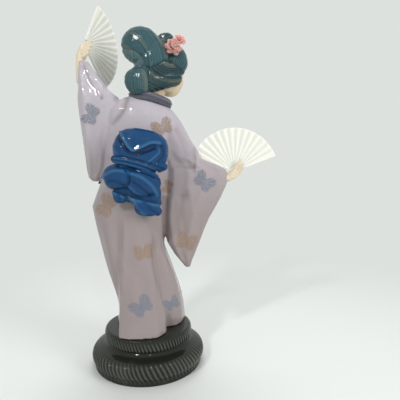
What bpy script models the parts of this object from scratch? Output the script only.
"""Glazed ceramic figurine of a dancer in a kimono with two open fans, on a ribbed round base.

The origin is on the base's axis at its underside, +Z is up and the figure faces +Y.
Driving sizes are in metres. The tables of sections are drawn in millimetres and scaled by MM.
"""

import math

import bmesh
import bpy
from mathutils import Euler, Vector

MM = 0.001
GAP = 0.0003  # joint of slip and glaze between two pieces
WELD = 0.000002
WELDS = (WELD, WELD / 10, WELD / 100)  # tried in turn until a cut mesh is closed

# How a Boolean's result is judged, and how far its second piece moves for another try
LEAST_LEFT = 0.05
SLACK = 0.002
NUDGE = 0.000004
TRIES = 8

# Base, turned
FOOT_RADIUS = 0.0438
FOOT_HEIGHT = 0.005
TORUS_RADIUS = 0.046
TORUS_HEIGHT = 0.012
NECK_RADIUS = 0.033
DISC_RADIUS = 0.0357
DISC_HEIGHT = 0.0094
BEAD = 0.0016
GROOVE = 0.0014
EDGE = 0.0008
RIB_DEPTH = 0.0009
RIBS = 48
BASE_WALL = 0.005
TIER = FOOT_HEIGHT + TORUS_HEIGHT
DISC_LOW = TIER + 2 * BEAD + GROOVE
BASE_TOP = DISC_LOW + DISC_HEIGHT

# Vents of the two hollow castings
VENT_RADIUS = 0.004
BASE_VENT_X = 0.015
ROBE_VENT_X = 0.002

# Robe
ROBE_HEIGHT = 0.1857
ROBE_SPAN = 0.1215
ROBE_WALL = 0.0045
ROBE_BOTTOM = BASE_TOP + GAP
SHOULDER = ROBE_BOTTOM + ROBE_HEIGHT
FOLD_DEPTH = 0.0009
SLEEVE_FOLD = 0.0008

# Collar and sash
COLLAR_ACROSS = 0.0155
COLLAR_DEEP = 0.0115
COLLAR_THICK = 0.0044
COLLAR_HEIGHT = 0.0076
COLLAR_SLOPE = 0.22
SASH_THICK = 0.0026

# Bow
BOW_WIDTH = 0.041
BOW_DEPTH = 0.023
LOOP_HEIGHT = 0.032
LOBE_RADIUS = 0.0135
LOBE_DEPTH = 0.009
TAIL_WIDTH = 0.020
TAIL_LENGTH = 0.025
TAIL_THICK = 0.010
CORD_RADIUS = 0.0032

# Head, hair and flowers
HEAD_WIDTH = 0.030
HEAD_DEPTH = 0.034
HEAD_HEIGHT = 0.036
HEAD_TURN = math.radians(-45)
THROAT_RADIUS = 0.0085
HAIR_THICK = 0.0032
BUN_RADIUS = 0.0155
NAPE_RADIUS = 0.013
KNOT_RADIUS = 0.007
WING_RADIUS = 0.0095
CARNATION_RADIUS = 0.0068
BLOSSOM_RADIUS = 0.0056

# Hands and fans
WRIST_RADIUS = 0.0044
FINGER_RADIUS = 0.0018
LEFT_REACH = 0.0379
RIGHT_REACH = 0.0359
LEAF_THICK = 0.0012
GUARD_RADIUS = 0.0011
GUARD_PAST = 0.0006  # how far a guard stick runs past the leaf at each end
PLEAT_DEPTH = 0.0015
RIM_SCALLOP = 0.0006
PLEATS = 14
PIVOT_RADIUS = 0.0025
LEAF_START = 0.0045  # far enough out that the thickened leaf doesn't cross itself

# The drawing's own hem, shoulder and span, in millimetres
DRAWN_HEM = 31.3
DRAWN_SHOULDER = 217.0
DRAWN_HEIGHT = 185.7
DRAWN_SPAN = 121.5

# Robe body: height, left, right, back, front
BODY = (
    (40, -23, 29, -25, 25),
    (50, -25.5, 26.5, -25, 24.5),
    (63, -30, 22.5, -24.5, 24),
    (82, -35, 16.5, -23, 22),
    (93, -37, 12.5, -22.5, 21.5),
    (102, -39, 12, -22, 21),
    (118, -42, 15, -21.5, 21),
    (130, -44.5, 16, -21, 21),
    (145, -39, 17, -20, 20),
    (160, -34, 17, -18, 17),
    (178, -32, 22, -17, 16),
    (195, -32, 27, -17, 16),
    (206, -31, 22, -15.5, 14),
    (213, -26, 14, -12.5, 11),
    (217, -18, 9, -9, 8),
)
BODY_HEIGHTS = (38, 46, 54, 63, 74, 86, 98, 110, 120, 130, 141, 152, 164, 178, 192, 201, 207, 212)
HOLLOW_HEIGHTS = (54, 74, 93, 112, 130, 148, 166, 190)

# Hem outline seen from above, anticlockwise from the right
HEM = (
    (30, 12), (29, 19), (22, 25), (8, 29), (-8, 28), (-21, 22), (-27, 12),
    (-26.5, 1), (-22.5, -9), (-19.5, -20), (-19, -28), (-12.5, -32.5), (0, -32),
    (9, -30), (15.5, -25.5), (17.5, -20), (17, -12.5), (23, -6), (27.5, 0), (29.5, 6),
)

# Sleeves: height, left, right, middle depth, half thickness
LEFT_SLEEVE = (
    (150, -44, -39, -1, 2),
    (153, -47, -36, -1, 5),
    (160, -48.5, -30, -1, 7),
    (179, -50.5, -27, -1, 8),
    (203, -53.5, -24, -1, 9),
    (217, -54.5, -22, -1, 9.5),
    (224, -54, -31, 0, 9),
    (230, -54, -34.5, 0, 8),
    (238, -53.5, -41, 0, 6.5),
    (245, -53, -46, 0, 5),
)
RIGHT_SLEEVE = (
    (79, 31, 35, 0, 2),
    (84, 27, 36.5, 0, 4),
    (90, 22, 39, 0, 5),
    (100, 16, 43, 0, 6.5),
    (120, 11, 51, 0, 7.5),
    (136, 11, 60, 0, 8),
    (147, 11, 65, 0, 8),
    (155, 11, 67, 0, 7.5),
    (160, 11, 64, 0, 7),
    (165, 11, 53, 0, 7.5),
    (169, 10, 43.5, -1, 8.5),
    (175, 8, 41.5, -2, 9),
    (183, 5, 36, -2, 10),
    (198, 0, 28, -2, 10),
    (206, -5, 22, -2, 9),
)
SASH_HEIGHTS = (148, 159, 170, 181, 192)

# Upright folds of the skirt: behind (-1) or in front (1), heights with places across, out or in, half width
SKIRT_FOLDS = (
    (-1, ((126, -14.5), (94, -16), (58, -18.5), (31, -19.5)), 1.0, 3.2),
    (-1, ((120, -20), (78, -21.5), (31, -23)), -1.4, 3.2),
    (-1, ((116, 2), (88, 4), (58, 7), (31, 9)), 0.8, 3.6),
    (-1, ((108, 7), (81, 10), (53, 13), (31, 16.5)), -2.4, 3.2),
    (-1, ((95, 16.5), (69, 20), (31, 22)), 0.8, 3.6),
    (1, ((146, 4), (110, 2), (70, -2), (31, -3)), -1.8, 3.4),
    (1, ((140, -12), (100, -16), (60, -15), (31, -12)), 1.1, 4.5),
    (1, ((120, 12), (80, 14), (31, 16)), 1.2, 4.5),
)
FOLD_FADE = 12.0
CUT_HEIGHTS = (120, 216)


def clear_scene():
    for thing in list(bpy.data.objects):
        bpy.data.objects.remove(thing)


def collection(name):
    made = bpy.data.collections.new(name)
    bpy.context.scene.collection.children.link(made)
    return made


def height(z):
    """Height in the model of a drawn height: it follows the robe up to the shoulder and is carried above."""
    if z < DRAWN_SHOULDER:
        return ROBE_BOTTOM + (z - DRAWN_HEM) * ROBE_HEIGHT / DRAWN_HEIGHT
    return SHOULDER + (z - DRAWN_SHOULDER) * MM


def across(x):
    """Place across the model of a drawn place."""
    return x * ROBE_SPAN / DRAWN_SPAN


def place(x, y, z):
    return Vector((across(x), y * MM, height(z)))


def helper(mesh):
    """An object that is cut, joined or used as a cutter, hidden until it becomes a part."""
    thing = bpy.data.objects.new("helper", mesh)
    CUTTERS.objects.link(thing)
    thing.hide_render = True
    thing.display_type = "WIRE"
    return thing


def from_bmesh(shape):
    bmesh.ops.triangulate(shape, faces=shape.faces)
    bmesh.ops.recalc_face_normals(shape, faces=shape.faces)
    if shape.calc_volume(signed=True) < 0:
        bmesh.ops.reverse_faces(shape, faces=shape.faces)
    mesh = bpy.data.meshes.new("helper")
    shape.to_mesh(mesh)
    shape.free()
    return helper(mesh)


def loft(rings):
    """Closed skin through rings of unlike section and equal count, with flat ends."""
    shape = bmesh.new()
    rows = [[shape.verts.new(point) for point in ring] for ring in rings]
    count = len(rings[0])
    for low, high in zip(rows, rows[1:]):
        for i in range(count):
            j = (i + 1) % count
            shape.faces.new((low[i], low[j], high[j], high[i]))
    shape.faces.new(list(reversed(rows[0])))
    shape.faces.new(rows[-1])
    return from_bmesh(shape)


def evaluated_mesh(thing):
    bpy.context.view_layer.update()
    graph = bpy.context.evaluated_depsgraph_get()
    return bpy.data.meshes.new_from_object(thing.evaluated_get(graph))


def welded(mesh):
    """Frees a mesh of a Boolean's slivers, as far as it stays closed by that.

    Gives its volume, or less than zero where it is open.
    """
    for distance in WELDS:
        shape = bmesh.new()
        shape.from_mesh(mesh)
        bmesh.ops.remove_doubles(shape, verts=shape.verts, dist=distance)
        bmesh.ops.dissolve_degenerate(shape, dist=distance, edges=shape.edges)
        bmesh.ops.triangulate(shape, faces=shape.faces)
        closed = all(edge.is_manifold for edge in shape.edges)
        held = shape.calc_volume(signed=True) if closed else -1.0
        if closed or distance == WELDS[-1]:
            shape.to_mesh(mesh)
        shape.free()
        if closed:
            break
    return held


def combine(first, second, operation):
    """Joins or cuts the first piece by the second, which is used up.

    Where facets nearly coincide the solver can lose a piece. A result that is open, or holds more or less
    than the two pieces allow, is made again with the second piece a few micrometres aside.
    """
    one, other = welded(first.data), welded(second.data)
    least, most = {
        "UNION": (max(one, other), one + other),
        "DIFFERENCE": (max(one - other, LEAST_LEFT * one), one),
        "INTERSECT": (LEAST_LEFT * min(one, other), min(one, other)),
    }[operation]
    change = first.modifiers.new(operation, "BOOLEAN")
    change.operation = operation
    change.solver = "EXACT"
    change.object = second
    for attempt in range(TRIES):
        change.use_hole_tolerant = attempt % 2 > 0
        second.location = (NUDGE * attempt, -NUDGE * attempt / 2, NUDGE * attempt / 3)
        mesh = evaluated_mesh(first)
        if (1 - SLACK) * least <= welded(mesh) <= (1 + SLACK) * most:
            break
    else:
        print("WARNING:", operation, "left a piece that is open or lost some of its volume")
    first.modifiers.clear()
    first.data = mesh
    bpy.data.objects.remove(second)
    return first


def union(things):
    result = things[0]
    for thing in things[1:]:
        combine(result, thing, "UNION")
    return result


def less(thing, cutters):
    for cutter in cutters:
        combine(thing, cutter, "DIFFERENCE")
    return thing


def shells_of(shape):
    """The separate shells of a mesh, as sets of vertices, smallest first."""
    left, shells = set(shape.verts), []
    while left:
        shell, waiting = set(), [left.pop()]
        while waiting:
            vert = waiting.pop()
            if vert in shell:
                continue
            shell.add(vert)
            waiting.extend(edge.other_vert(vert) for edge in vert.link_edges)
        left -= shell
        shells.append(shell)
    return sorted(shells, key=len)


def glaze(name, colour, roughness):
    made = bpy.data.materials.new(name)
    made.use_nodes = True
    shader = made.node_tree.nodes["Principled BSDF"]
    shader.inputs["Base Color"].default_value = (*colour, 1.0)
    shader.inputs["Roughness"].default_value = roughness
    shader.inputs["Metallic"].default_value = 0.0
    return made


def part(name, thing, material):
    """Makes a finished helper one named part: without loose chips, smooth and glazed."""
    shape = bmesh.new()
    shape.from_mesh(thing.data)
    for shell in shells_of(shape)[:-1]:
        bmesh.ops.delete(shape, geom=list(shell), context="VERTS")
    shape.to_mesh(thing.data)
    shape.free()
    thing.name = thing.data.name = name
    thing.data.materials.clear()
    thing.data.materials.append(material)
    thing.data.shade_smooth()
    thing.data.set_sharp_from_angle(angle=math.radians(40))
    thing.hide_render = False
    thing.display_type = "TEXTURED"
    CUTTERS.objects.unlink(thing)
    FIGURINE.objects.link(thing)
    return thing


def catmull(a, b, c, d, t):
    """Catmull-Rom value between b and c."""
    return 0.5 * (2 * b + (c - a) * t + (2 * a - 5 * b + 4 * c - d) * t * t + (3 * b - a - 3 * c + d) * t**3)


def section(rows, z):
    """The sizes at a drawn height, smoothly between a table's rows."""
    k = 0
    while k < len(rows) - 2 and z > rows[k + 1][0]:
        k += 1
    before, low, high, after = rows[max(k - 1, 0)], rows[k], rows[k + 1], rows[min(k + 2, len(rows) - 1)]
    t = min(max((z - low[0]) / (high[0] - low[0]), 0.0), 1.0)
    return [catmull(before[i], low[i], high[i], after[i], t) for i in range(1, len(low))]


def signed_power(value, power):
    return math.copysign(abs(value) ** power, value)


def turned(profile, steps, rib_depth=None):
    """A profile turned about Z with a Screw, then ribbed by drawing in every second meridian."""
    shape = bmesh.new()
    points = [(0.0, profile[-1][1])] + [(r, z) for r, z, _ in reversed(profile)] + [(0.0, profile[0][1])]
    verts = [shape.verts.new((r, 0.0, z)) for r, z in points]
    for a, b in zip(verts, verts[1:]):
        shape.edges.new((a, b))
    mesh = bpy.data.meshes.new("profile")
    shape.to_mesh(mesh)
    shape.free()
    thing = helper(mesh)
    screw = thing.modifiers.new("turn", "SCREW")
    screw.axis = "Z"
    screw.steps = screw.render_steps = steps
    screw.use_merge_vertices = True
    screw.merge_threshold = WELD
    solid_mesh = evaluated_mesh(thing)
    bpy.data.objects.remove(thing)
    shape = bmesh.new()
    shape.from_mesh(solid_mesh)
    bmesh.ops.remove_doubles(shape, verts=shape.verts, dist=WELD)
    depths = {round(z, 6): deep for _, z, deep in profile}
    if rib_depth:
        for vert in shape.verts:
            radius = math.hypot(vert.co.x, vert.co.y)
            deep = depths.get(round(vert.co.z, 6), 0.0) * rib_depth
            meridian = round(math.atan2(vert.co.y, vert.co.x) / (2 * math.pi) * steps)
            if deep and radius > deep and meridian % 2:
                vert.co.x *= (radius - deep) / radius
                vert.co.y *= (radius - deep) / radius
    return from_bmesh(shape)


def vent(x, low, high):
    shape = bmesh.new()
    bmesh.ops.create_cone(
        shape, cap_ends=True, segments=16, radius1=VENT_RADIUS, radius2=VENT_RADIUS, depth=high - low
    )
    bmesh.ops.translate(shape, verts=shape.verts, vec=(x, 0.0, (low + high) / 2))
    return from_bmesh(shape)


def pad(centre, radii, grow=0.0, around=18, rows=10, tilt=0.0, turn=0.0, lobes=0, depth=0.0, square=1.0):
    """A sphere stretched to three radii, squared off below 1, lobed, tilted about Y and turned about Z."""
    shape = bmesh.new()
    bmesh.ops.create_uvsphere(shape, u_segments=around, v_segments=rows, radius=1.0)
    facing = Euler((0.0, tilt, turn)).to_matrix()
    middle = place(*centre)
    for vert in shape.verts:
        level = math.hypot(vert.co.x, vert.co.y)
        angle = math.atan2(vert.co.y, vert.co.x)
        swell = 1.0 + depth * math.cos(lobes * angle) * level
        ring = level**square * swell
        point = Vector(
            (
                (radii[0] + grow) * ring * signed_power(math.cos(angle), square),
                (radii[1] + grow) * ring * signed_power(math.sin(angle), square),
                (radii[2] + grow) * signed_power(vert.co.z, square),
            )
        )
        vert.co = middle + facing @ point
    return from_bmesh(shape)


def bar(start, end, radius, end_radius, grow=0.0, around=10):
    """A tapered bar with round ends: a sphere of an odd number of rows, whose two halves are drawn apart."""
    start, end = place(*start), place(*end)
    shape = bmesh.new()
    bmesh.ops.create_uvsphere(shape, u_segments=around, v_segments=7, radius=1.0)
    facing = (end - start).to_track_quat("Z", "Y")
    for vert in shape.verts:
        high = vert.co.z > 0
        scale = (end_radius if high else radius) + grow
        vert.co = (end if high else start) + facing @ (vert.co * scale)
    return from_bmesh(shape)


def base_profile():
    """Radius, height and share of the rib depth, from the foot up."""
    middle = (TORUS_RADIUS + NECK_RADIUS) / 2
    return (
        (FOOT_RADIUS - EDGE, 0.0, 0.0),
        (FOOT_RADIUS, EDGE, 0.0),
        (FOOT_RADIUS, FOOT_HEIGHT, 0.0),
        (TORUS_RADIUS - EDGE, FOOT_HEIGHT + 0.17 * TORUS_HEIGHT, 1.0),
        (TORUS_RADIUS, FOOT_HEIGHT + 0.42 * TORUS_HEIGHT, 1.0),
        (TORUS_RADIUS - EDGE, FOOT_HEIGHT + 0.67 * TORUS_HEIGHT, 1.0),
        (TORUS_RADIUS - 3 * EDGE, FOOT_HEIGHT + 0.85 * TORUS_HEIGHT, 0.6),
        (TORUS_RADIUS - 6 * EDGE, FOOT_HEIGHT + 0.93 * TORUS_HEIGHT, 0.0),
        (middle, TIER, 0.0),
        (NECK_RADIUS + BEAD, TIER + BEAD, 0.0),
        (NECK_RADIUS, TIER + 2 * BEAD, 0.0),
        (DISC_RADIUS - EDGE, DISC_LOW, 0.5),
        (DISC_RADIUS, DISC_LOW + 0.26 * DISC_HEIGHT, 1.0),
        (DISC_RADIUS, DISC_LOW + 0.7 * DISC_HEIGHT, 1.0),
        (DISC_RADIUS - EDGE, BASE_TOP - EDGE, 0.5),
        (DISC_RADIUS - 2 * EDGE, BASE_TOP, 0.0),
    )


def make_base(material):
    base = turned(base_profile(), 2 * RIBS, RIB_DEPTH)
    inside = (
        (FOOT_RADIUS - BASE_WALL, BASE_WALL, 0.0),
        (FOOT_RADIUS - BASE_WALL, TIER - BASE_WALL, 0.0),
        (NECK_RADIUS - BASE_WALL, TIER - EDGE, 0.0),
        (NECK_RADIUS - BASE_WALL, BASE_TOP - BASE_WALL, 0.0),
    )
    cutters = [turned(inside, 24), vent(BASE_VENT_X, -EDGE, BASE_WALL + EDGE)]
    return part("base", less(base, cutters), material)


def hem_point(angle):
    """Point of the hem's outline in a direction, on a smooth closed curve."""
    u = angle / (2 * math.pi) * len(HEM)
    k, t = int(u), u - int(u)
    a, b, c, d = (HEM[(k + i) % len(HEM)] for i in (-1, 0, 1, 2))
    return catmull(a[0], b[0], c[0], d[0], t), catmull(a[1], b[1], c[1], d[1], t)


def fold(x, y, z):
    """How far the skirt's upright folds push its skin out at a drawn place."""
    total = 0.0
    for side, route, depth, width in SKIRT_FOLDS:
        top = route[0][0]
        if y * side <= 0 or z >= top:
            continue
        for (high, start), (low, end) in zip(route, route[1:]):
            if z >= low:
                middle = start + (end - start) * (high - z) / (high - low)
                fade = min(1.0, (top - z) / FOLD_FADE)
                total += fade * depth * math.exp(-(((x - middle) / width) ** 2))
                break
    return total * MM


def body_ring(z, grow=0.0, around=56, folded=True):
    """A section of the robe: an oval at the hips that becomes the hem's outline, with soft upright folds."""
    share = max(0.0, min(1.0, (118 - z) / (118 - DRAWN_HEM))) ** 1.8
    left, right, back, front = section(BODY, max(z, 40))
    cx, cy, rx, ry = (left + right) / 2, (back + front) / 2, (right - left) / 2, (front - back) / 2
    first = math.atan2(HEM[0][1], HEM[0][0])
    drape = max(0.0, min(1.0, (150 - z) / 60)) * (1 - 0.7 * share) if folded else 0.0
    ring = []
    for i in range(around):
        angle = 2 * math.pi * i / around
        hx, hy = hem_point(angle)
        x = cx + rx * math.cos(angle + first)
        y = cy + ry * math.sin(angle + first)
        x, y = x + (hx - x) * share, y + (hy - y) * share
        out = Vector((x - cx * (1 - share), y)).normalized()
        push = grow + FOLD_DEPTH * drape * math.sin(7 * angle + 0.5)
        if folded:
            push += fold(x, y, z)
        ring.append((across(x) + push * out.x, y * MM + push * out.y, height(z)))
    return ring


def shift(ring, dz):
    return [(x, y, z + dz) for x, y, z in ring]


def body(grow=0.0):
    rings = [shift(body_ring(DRAWN_HEM, grow), -grow)]
    rings += [body_ring(z, grow) for z in BODY_HEIGHTS]
    rings.append(shift(body_ring(DRAWN_SHOULDER, grow), grow))
    return loft(rings)


def sleeve(rows, grow=0.0, around=18):
    """A hanging sleeve, a flat slab with soft folds, through a table's sections."""
    heights = []
    for low, high in zip(rows, rows[1:]):
        heights += [low[0]] if high[0] - low[0] < 12 else [low[0], (low[0] + high[0]) / 2]
    heights.append(rows[-1][0])
    rings = []
    for z in heights:
        left, right, cy, ry = section(rows, z)
        cx, rx = across((left + right) / 2), across((right - left) / 2)
        ring = []
        for i in range(around):
            c, s = math.cos(2 * math.pi * i / around), math.sin(2 * math.pi * i / around)
            ripple = SLEEVE_FOLD * math.sin(3 * math.pi * c) * s * min(1.0, ry / 6)
            x = cx + (rx + grow) * signed_power(c, 0.75)
            ring.append((x, cy * MM + (ry * MM + grow) * signed_power(s, 0.75) + ripple, height(z)))
        rings.append(ring)
    rings[0], rings[-1] = shift(rings[0], -grow), shift(rings[-1], grow)
    return loft(rings)


def robe_pieces(grow=0.0):
    return [body(grow), sleeve(LEFT_SLEEVE, grow), sleeve(RIGHT_SLEEVE, grow)]


def make_robe(material):
    robe = union(robe_pieces())
    rings = [shift(body_ring(DRAWN_HEM, -ROBE_WALL, 20, False), ROBE_WALL)]
    rings += [body_ring(z, -ROBE_WALL, 20, False) for z in HOLLOW_HEIGHTS]
    cutters = [loft(rings), vent(ROBE_VENT_X, ROBE_BOTTOM - EDGE, ROBE_BOTTOM + ROBE_WALL + EDGE)]
    return part("robe", less(robe, cutters), material)


def collar(grow=0.0):
    """A band round the neck, drawn low at the right shoulder: a torus with an upright oval section."""
    bpy.ops.mesh.primitive_torus_add(
        major_segments=24, minor_segments=8, major_radius=2.0, minor_radius=1.0
    )
    thing = bpy.context.object
    for vert in thing.data.vertices:
        angle = math.atan2(vert.co.y, vert.co.x)
        out = math.hypot(vert.co.x, vert.co.y) - 2.0
        c, s = math.cos(angle), math.sin(angle)
        wide = (COLLAR_THICK / 2 + grow) * out
        rise = (COLLAR_HEIGHT / 2 + grow) * vert.co.z
        low = COLLAR_SLOPE * COLLAR_ACROSS * c
        vert.co = place(3, -0.5, 216.5) + Vector(
            (COLLAR_ACROSS * c + wide * c, COLLAR_DEEP * s + wide * s, rise - low)
        )
    mesh = thing.data.copy()
    bpy.data.objects.remove(thing)
    return helper(mesh)


def sash():
    """The obi over the robe's front, between the sleeves. The bow covers it behind."""
    band = loft([body_ring(z, SASH_THICK) for z in SASH_HEIGHTS])
    shape = bmesh.new()
    bmesh.ops.create_cube(shape, size=1.0)
    low, high = (height(z) for z in CUT_HEIGHTS)
    for vert in shape.verts:
        x, y = 4 * ROBE_SPAN * vert.co.x, ROBE_SPAN * (vert.co.y + 0.5) + GAP
        vert.co = (x, y, high if vert.co.z > 0 else low)
    return combine(band, from_bmesh(shape), "INTERSECT")


def bow():
    loop = (BOW_WIDTH / 2, BOW_DEPTH / 2, LOOP_HEIGHT / 2)
    left_lobe = (LOBE_RADIUS - 0.001, LOBE_DEPTH, LOBE_RADIUS - 0.0035)
    right_lobe = (LOBE_RADIUS, LOBE_DEPTH, LOBE_RADIUS - 0.003)
    short_tail = (0.28 * TAIL_WIDTH, TAIL_THICK / 2, 0.36 * TAIL_LENGTH)
    bridge = (0.4 * TAIL_WIDTH, TAIL_THICK / 2, 0.32 * TAIL_LENGTH)
    long_tail = (TAIL_WIDTH / 2, TAIL_THICK / 2, TAIL_LENGTH / 2)
    return union(
        [
            pad((-1, -27.5, 173.5), loop, around=22, tilt=0.17, square=0.78),
            pad((-17, -28, 154.5), left_lobe, tilt=-0.2, square=0.85),
            pad((0.5, -29, 150), right_lobe, tilt=0.35, square=0.85),
            pad((-17, -26, 143), short_tail, around=14, rows=8, square=0.7),
            pad((-8, -26, 142), bridge, around=14, rows=8, tilt=0.5),
            pad((3.5, -27, 137), long_tail, tilt=0.12, square=0.6),
            bar((-19, -34, 167), (16, -34, 161.5), CORD_RADIUS, CORD_RADIUS),
        ]
    )


HEAD_CENTRE = (14.0, 3.0, 239.5)
HEAD_RADII = (HEAD_WIDTH / 2, HEAD_DEPTH / 2, HEAD_HEIGHT / 2)


def toward(distance, rise):
    """A drawn point ahead of the head's centre, the way that the face looks."""
    x, y, z = HEAD_CENTRE
    return (x - distance * math.sin(HEAD_TURN), y + distance * math.cos(HEAD_TURN), z + rise)


def head_pieces(grow=0.0):
    jaw = (0.73 * HEAD_RADII[0], 0.65 * HEAD_RADII[1], 0.67 * HEAD_RADII[2])
    nose = (0.0017, 0.0024, 0.0036)
    return [
        pad(HEAD_CENTRE, HEAD_RADII, grow, 20, 12, turn=HEAD_TURN),
        pad(toward(6, -8), jaw, grow, 16, 10, turn=HEAD_TURN),
        bar((5, 1, 212), (9, 2, 230), THROAT_RADIUS, THROAT_RADIUS - 0.001, grow, 14),
        pad(toward(17.2, -3.5), nose, grow, 8, 6, turn=HEAD_TURN),
    ]


def hair_pieces(grow=0.0):
    x, y, z = HEAD_CENTRE
    cap = tuple(radius + HAIR_THICK for radius in HEAD_RADII)
    return [
        pad((x - 4.5, y - 2, z + 5), cap, grow, 20, 12, turn=HEAD_TURN),
        pad((-3, -7, 255.5), (BUN_RADIUS, BUN_RADIUS - 0.0025, BUN_RADIUS - 0.001), grow, 20),
        pad((-3, -9, 228), (NAPE_RADIUS, NAPE_RADIUS - 0.003, NAPE_RADIUS - 0.001), grow, tilt=0.25),
        pad((16, -3, 261.5), (KNOT_RADIUS, KNOT_RADIUS, KNOT_RADIUS - 0.001), grow, 14, 8),
        pad((24, -4, 245), (WING_RADIUS, WING_RADIUS, WING_RADIUS + 0.003), grow, 16, tilt=-0.15),
    ]


def face_opening():
    """The room that the hair leaves for the face."""
    return pad(toward(19, -9), (0.0145, 0.015, 0.019), around=18, turn=HEAD_TURN)


def carnation(grow=0.0):
    radii = (CARNATION_RADIUS, 0.8 * CARNATION_RADIUS, CARNATION_RADIUS)
    return pad((23, -12, 252.5), radii, grow, 36, 8, lobes=9, depth=0.12)


def blossom():
    radii = (BLOSSOM_RADIUS, 0.75 * BLOSSOM_RADIUS, BLOSSOM_RADIUS)
    return pad((27.5, -9, 258.5), radii, 0.0, 30, 8, lobes=5, depth=0.14)


def left_hand(grow=0.0):
    fingers = (
        ((-52, -3, 256), (-45, -3.4, 259.5)),
        ((-52, -3, 252.4), (-45, -3.6, 255.4)),
        ((-53, 0, 258), (-49, 2, 262)),
    )
    wrist = bar((-51.5, 0, 237), (-52, 0, 250), WRIST_RADIUS, WRIST_RADIUS, grow, 12)
    palm = pad((-51, 0, 253.5), (0.0055, 0.0042, 0.0065), grow, 14, 8)
    return [wrist, palm] + [bar(a, b, FINGER_RADIUS, 0.8 * FINGER_RADIUS, grow, 8) for a, b in fingers]


def right_hand(grow=0.0):
    fingers = (
        ((72, -3.2, 161), (77.5, -3.2, 164)),
        ((73, -3.2, 157.5), (78.5, -3.2, 160.5)),
        ((69, -3, 161), (71, -2.6, 166)),
    )
    wrist = bar((62, 0, 154.5), (69, 0, 157), WRIST_RADIUS, WRIST_RADIUS, grow, 12)
    palm = pad((71.5, 0, 158.5), (0.0062, 0.0042, 0.0054), grow, 14, 8)
    return [wrist, palm] + [bar(a, b, FINGER_RADIUS, 0.8 * FINGER_RADIUS, grow, 8) for a, b in fingers]


def fan(pivot, turn, start, end, reach):
    """A pleated leaf, thickened with Solidify, between two round guard sticks."""
    start, end = math.radians(start), math.radians(end)
    centre = place(*pivot)
    across_leaf = Vector((math.cos(turn), math.sin(turn), 0.0))
    out = Vector((-math.sin(turn), math.cos(turn), 0.0))
    shape = bmesh.new()
    bmesh.ops.create_grid(shape, x_segments=2 * PLEATS, y_segments=2, size=0.5)
    for vert in shape.verts:
        k = round((vert.co.x + 0.5) * 2 * PLEATS)
        radius = LEAF_START + (reach - LEAF_START) * (vert.co.y + 0.5)
        ridge = 1 if k % 2 else -1
        if vert.co.y > 0.4 and ridge > 0:
            radius -= RIM_SCALLOP
        angle = start + (end - start) * k / (2 * PLEATS)
        point = across_leaf * (radius * math.cos(angle)) + Vector((0.0, 0.0, radius * math.sin(angle)))
        vert.co = centre + point + out * (ridge * PLEAT_DEPTH / 2 * radius / reach)
    mesh = bpy.data.meshes.new("leaf")
    shape.to_mesh(mesh)
    shape.free()
    leaf = helper(mesh)
    shell = leaf.modifiers.new("thickness", "SOLIDIFY")
    shell.thickness = LEAF_THICK
    shell.offset = 0.0
    shape = bmesh.new()
    shape.from_mesh(evaluated_mesh(leaf))
    bpy.data.objects.remove(leaf)
    leaf = from_bmesh(shape)
    length = reach - PIVOT_RADIUS + 2 * GUARD_PAST
    for angle in (start, end):
        tip = across_leaf * math.cos(angle) + Vector((0.0, 0.0, math.sin(angle)))
        shape = bmesh.new()
        bmesh.ops.create_cone(
            shape, cap_ends=True, segments=10, radius1=GUARD_RADIUS, radius2=GUARD_RADIUS, depth=length
        )
        facing = tip.to_track_quat("Z", "Y")
        for vert in shape.verts:
            vert.co = centre + tip * (reach + PIVOT_RADIUS) / 2 + facing @ vert.co
        combine(leaf, from_bmesh(shape), "UNION")
    return leaf


clear_scene()
FIGURINE = collection("figurine")
CUTTERS = collection("cutters")

DARK = glaze("glaze_dark", (0.036, 0.039, 0.031), 0.12)
LILAC = glaze("glaze_lilac", (0.38, 0.33, 0.34), 0.2)
SLATE = glaze("glaze_slate", (0.12, 0.13, 0.16), 0.2)
BLUE = glaze("glaze_blue", (0.025, 0.075, 0.17), 0.1)
CREAM = glaze("glaze_cream", (0.75, 0.68, 0.53), 0.2)
TEAL = glaze("glaze_teal", (0.045, 0.09, 0.1), 0.12)
CORAL = glaze("glaze_coral", (0.57, 0.3, 0.25), 0.25)
WHITE = glaze("glaze_white", (0.72, 0.72, 0.66), 0.22)

make_base(DARK)
make_robe(LILAC)
part("collar", less(collar(), robe_pieces(GAP)), SLATE)
part("obi_front", less(sash(), robe_pieces(GAP)), BLUE)
part("bow", less(bow(), robe_pieces(GAP)), BLUE)
part("head", less(union(head_pieces()), robe_pieces(GAP) + [collar(GAP)]), CREAM)
around_hair = [face_opening(), collar(GAP)] + head_pieces(GAP) + robe_pieces(GAP)
part("hair", less(union(hair_pieces()), around_hair), TEAL)
part("flower_b", less(carnation(), hair_pieces(GAP)), CORAL)
part("flower_a", less(blossom(), [carnation(GAP)] + hair_pieces(GAP)), CORAL)
part("hand_left", less(union(left_hand()), robe_pieces(GAP)), CREAM)
part("hand_right", less(union(right_hand()), robe_pieces(GAP)), CREAM)
left_fan = fan((-49.5, 0, 259), math.radians(57), -54, 66, LEFT_REACH)
part("fan_left", less(left_fan, left_hand(GAP) + robe_pieces(GAP)), WHITE)
right_fan = fan((71.5, 0, 157.5), 0.0, 21, 159, RIGHT_REACH)
part("fan_right", less(right_fan, right_hand(GAP) + robe_pieces(GAP)), WHITE)
